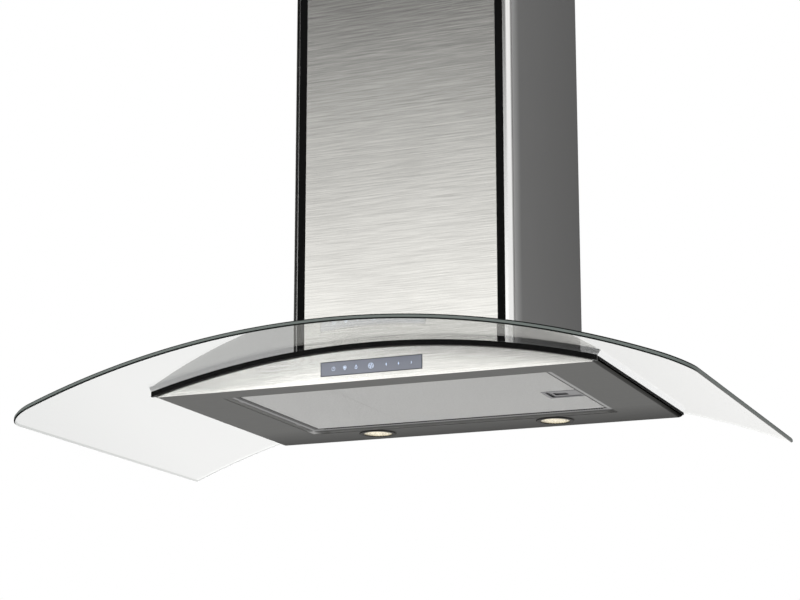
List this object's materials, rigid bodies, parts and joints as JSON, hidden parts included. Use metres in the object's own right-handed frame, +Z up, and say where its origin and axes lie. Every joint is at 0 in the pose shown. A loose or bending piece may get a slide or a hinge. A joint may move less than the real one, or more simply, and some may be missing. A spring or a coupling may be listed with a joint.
{
  "type": "curved glass range hood",
  "caption": "Wall range hood with a bent clear glass canopy, slim steel body, grease filter, two lamps, touch strip, blower and telescopic chimney.",
  "frame": {"origin": "centre of the four wall screw holes, in the plane of the wall", "axes": "+Y into the wall, -Y to the room, +Z up, +X to the right as seen from the room"},
  "size_m": [0.9, 0.5365, 0.6839],
  "materials": {
    "clear_glass": "clear toughened glass, ground edge",
    "black_trim": "black, half gloss",
    "rubber": "matt black rubber",
    "satin_steel": "satin steel, finely brushed",
    "brushed_steel": "brushed stainless steel",
    "bright_steel": "bright stainless steel",
    "side_steel": "grey painted steel",
    "galvanised": "galvanised sheet",
    "dark_glass": "dark tinted glass",
    "circuit": "green circuit board",
    "white_plastic": "white plastic",
    "aluminium_frame": "anodised aluminium",
    "aluminium_mesh": "fine expanded aluminium mesh",
    "dark_plastic": "dark grey moulded plastic",
    "latch_metal": "satin",
    "spring_steel": "bright wire",
    "shaft_steel": "ground steel",
    "motor_metal": "grey painted",
    "screw_steel": "zinc plated",
    "lamp_ring": "dark satin metal",
    "lamp_lens": "faceted glass",
    "lamp_cup": "bright reflector"
  },
  "bodies": {
    "hood": {"blower_casing": "galvanised", "cable_gland": "dark_plastic", "capacitor": "white_plastic", "capacitor_clip": "galvanised", "casing_screws": "screw_steel", "chimney_corner_left": "bright_steel", "chimney_corner_right": "bright_steel", "chimney_face": "brushed_steel", "chimney_side_left": "side_steel", "chimney_side_right": "side_steel", "chimney_strip_left": "black_trim", "chimney_strip_right": "black_trim", "collar_screws": "screw_steel", "control_glass": "dark_glass", "damper_pin": "shaft_steel", "deck_plate": "galvanised", "deck_screws": "screw_steel", "front_panel": "brushed_steel", "front_trim": "black_trim", "gasket_left": "rubber", "gasket_right": "rubber", "glass_canopy": "clear_glass", "glass_screws": "screw_steel", "glass_washers": "rubber", "lamp_bulb_left": "lamp_lens", "lamp_bulb_right": "lamp_lens", "lamp_cup_left": "lamp_cup", "lamp_cup_right": "lamp_cup", "lamp_driver": "white_plastic", "lamp_lens_left": "lamp_lens", "lamp_lens_right": "lamp_lens", "lamp_ring_left": "lamp_ring", "lamp_ring_right": "lamp_ring", "motor": "motor_metal", "motor_spider": "galvanised", "outlet_collar": "dark_plastic", "outlet_transition": "dark_plastic", "scroll_half_left": "dark_plastic", "scroll_half_right": "dark_plastic", "spider_screws": "screw_steel", "terminal_box": "white_plastic", "touch_board": "circuit", "underside_tray": "satin_steel", "wall_plate": "galvanised"},
    "upper": {"upper_cover": "side_steel", "top_bracket": "galvanised", "bracket_screws": "screw_steel"},
    "fan": {"impeller": "dark_plastic", "motor_shaft": "shaft_steel"},
    "front_damper": {"damper_flap_front": "dark_plastic"},
    "rear_damper": {"damper_flap_rear": "dark_plastic"},
    "filter": {"filter_frame": "aluminium_frame", "filter_mesh": "aluminium_mesh", "latch_base": "dark_plastic", "latch_spring": "spring_steel"},
    "latch": {"filter_latch": "latch_metal"}
  },
  "joints": [
    {"name": "upper_rise", "type": "slide", "parent": "hood", "child": "upper", "axis": [0, 0, 1], "range_m": [0, 0.3]},
    {"name": "fan_spin", "type": "hinge", "parent": "hood", "child": "fan", "pos_m": [0, -0.125, -0.047], "axis": [1, 0, 0], "continuous": true},
    {"name": "front_flap", "type": "hinge", "parent": "hood", "child": "front_damper", "pos_m": [0, -0.15, 0.116], "axis": [-1, 0, 0], "range_deg": [0, 80]},
    {"name": "rear_flap", "type": "hinge", "parent": "hood", "child": "rear_damper", "pos_m": [0, -0.15, 0.116], "axis": [1, 0, 0], "range_deg": [0, 80]},
    {"name": "filter_drop", "type": "hinge", "parent": "hood", "child": "filter", "pos_m": [-0.2208, -0.2255, -0.1975], "axis": [0, 1, 0], "range_deg": [0, 80]},
    {"name": "latch_slide", "type": "slide", "parent": "filter", "child": "latch", "axis": [-1, 0, 0], "range_m": [0, 0.006], "stiffness_N_per_m": 250, "springref_m": -0.003, "deforming": ["latch_spring"]}
  ]
}
